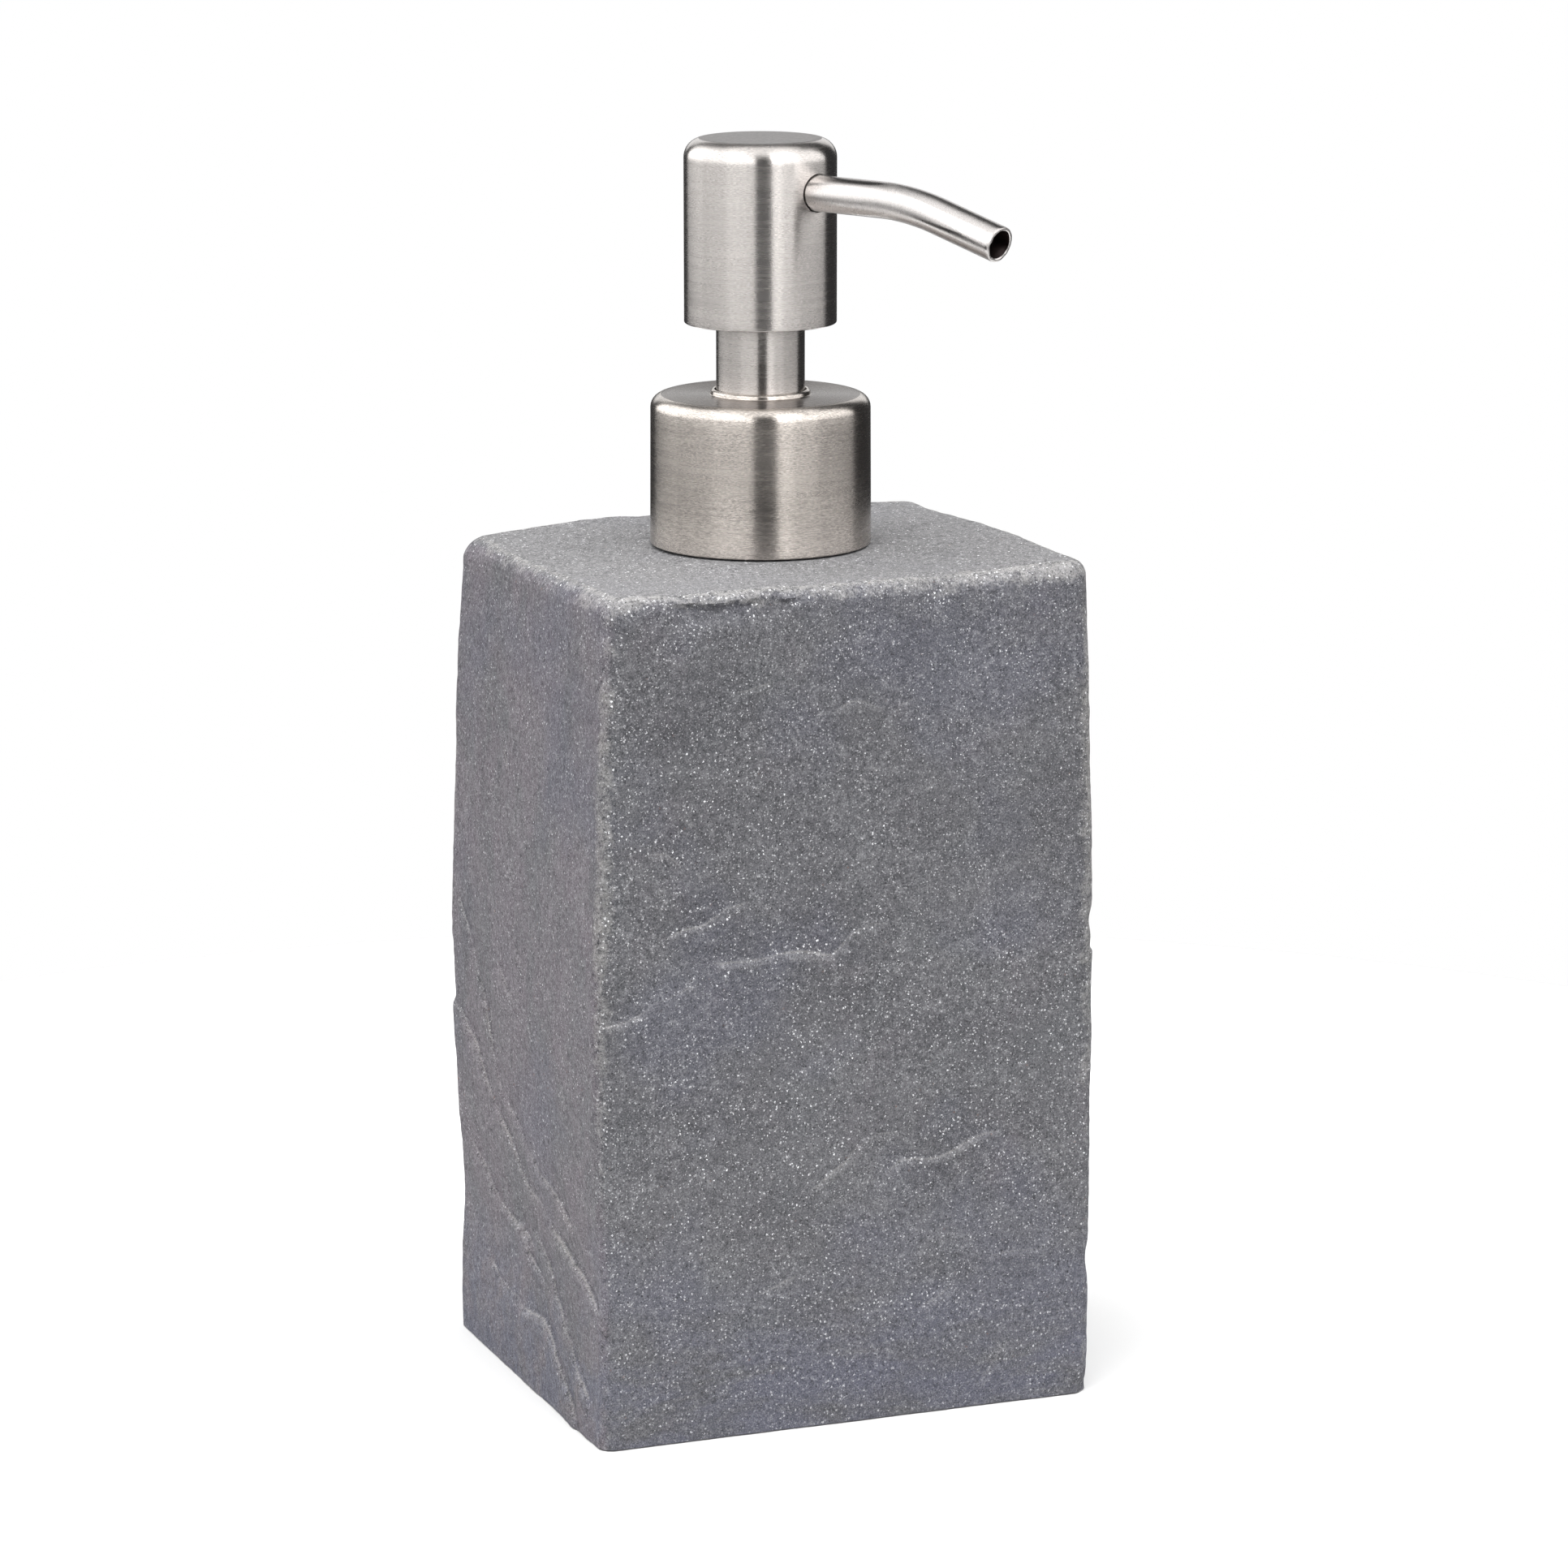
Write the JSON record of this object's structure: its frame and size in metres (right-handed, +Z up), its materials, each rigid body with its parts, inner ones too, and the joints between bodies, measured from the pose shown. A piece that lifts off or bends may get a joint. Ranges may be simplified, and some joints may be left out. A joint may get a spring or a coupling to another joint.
{
  "type": "soap pump dispenser",
  "caption": "Block-shaped stone-look soap bottle with a screw-on brushed-steel pump, a sprung press head and a bent tube spout.",
  "frame": {"origin": "middle of the underside of the base pad, on the pump's axis", "axes": "+Z up along the pump's axis, -Y towards the wide front face that the spout points over, +X to the right seen from the front"},
  "size_m": [0.076, 0.074, 0.1841],
  "materials": {
    "stone": "matt speckled grey cast resin, split-stone relief",
    "foam": "closed-cell foam",
    "steel": "brushed round the axis",
    "spring_steel": "bright drawn steel",
    "white_plastic": "moulded white plastic",
    "natural_plastic": "moulded translucent plastic"
  },
  "bodies": {
    "bottle": {"stone_body": "stone", "base_pad": "foam", "neck_insert": "white_plastic"},
    "pump_engine": {"neck_gasket": "foam", "pump_housing": "natural_plastic", "housing_cap": "white_plastic", "guide_bush": "white_plastic", "return_spring": "spring_steel", "dip_tube": "natural_plastic"},
    "collar": {"collar_shell": "steel", "closure_ring": "white_plastic"},
    "inlet_valve": {"inlet_ball": "spring_steel"},
    "piston": {"piston_seal": "natural_plastic"},
    "head": {"piston_rod": "white_plastic", "pump_stem": "white_plastic", "stem_sleeve": "steel", "head_core": "white_plastic", "head_shell": "steel", "spout_tube": "steel"},
    "outlet_valve": {"outlet_ball": "spring_steel"}
  },
  "joints": [
    {"name": "pump_rise", "type": "slide", "parent": "bottle", "child": "pump_engine", "axis": [0, 0, 1], "range_m": [0, 0.0053]},
    {"name": "collar_turn", "type": "hinge", "parent": "pump_engine", "child": "collar", "pos_m": [0, 0, 0.136], "axis": [0, 0, 1], "range_deg": [0, 450]},
    {"name": "inlet_ball_lift", "type": "slide", "parent": "pump_engine", "child": "inlet_valve", "axis": [0, 0, 1], "range_m": [0, 0.0015]},
    {"name": "head_press", "type": "slide", "parent": "pump_engine", "child": "piston", "axis": [0, 0, -1], "range_m": [0, 0.01], "stiffness_N_per_m": 800, "springref_m": -0.002, "deforming": ["return_spring"]},
    {"name": "head_swivel", "type": "hinge", "parent": "piston", "child": "head", "pos_m": [0, 0, 0.17], "axis": [0, 0, 1], "continuous": true},
    {"name": "outlet_ball_lift", "type": "slide", "parent": "head", "child": "outlet_valve", "axis": [0, 0, 1], "range_m": [0, 0.0012]}
  ],
  "couplings": [
    {"joint": "pump_rise", "follows": "collar_turn", "m_per_rad": 0.00067375}
  ]
}
